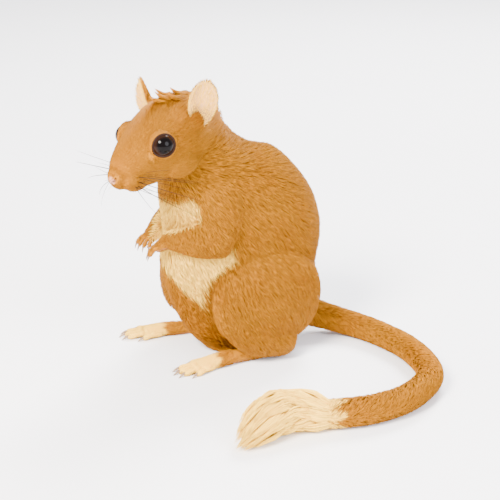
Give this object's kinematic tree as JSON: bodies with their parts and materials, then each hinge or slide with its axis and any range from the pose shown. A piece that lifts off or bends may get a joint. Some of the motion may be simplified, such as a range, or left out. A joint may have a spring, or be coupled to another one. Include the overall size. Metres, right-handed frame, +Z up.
{
  "type": "gerbil",
  "caption": "Life-size still model of a gerbil sitting up on its haunches, forepaws held at its chest, head turned to its left and tufted tail curled on the floor.",
  "frame": {"origin": "on the floor, under the middle of the whole model's box", "axes": "+Z up; the gerbil faces -Y and its left side, where the tail lies, is towards +X"},
  "size_m": [0.101, 0.1024, 0.0978],
  "materials": {
    "golden_fur": "short soft fur, golden brown",
    "cream_fur": "short soft fur, cream",
    "ear_skin": "thin skin under fine down",
    "eye": "wet gloss, near black"
  },
  "bodies": {
    "root": {"head": "golden_fur", "neck": "golden_fur", "torso": "golden_fur", "upper_arm_left": "golden_fur", "upper_arm_right": "golden_fur", "forearm_left": "golden_fur", "forearm_right": "golden_fur", "forepaw_left": "golden_fur", "forepaw_right": "golden_fur", "haunch_left": "golden_fur", "haunch_right": "golden_fur", "hind_foot_left": "cream_fur", "hind_foot_right": "cream_fur", "ear_left": "ear_skin", "ear_right": "ear_skin", "eye_left": "eye", "eye_right": "eye", "tail_1": "golden_fur", "tail_2": "golden_fur", "tail_3": "golden_fur", "tail_4": "golden_fur", "tail_tuft": "cream_fur"}
  },
  "joints": []
}
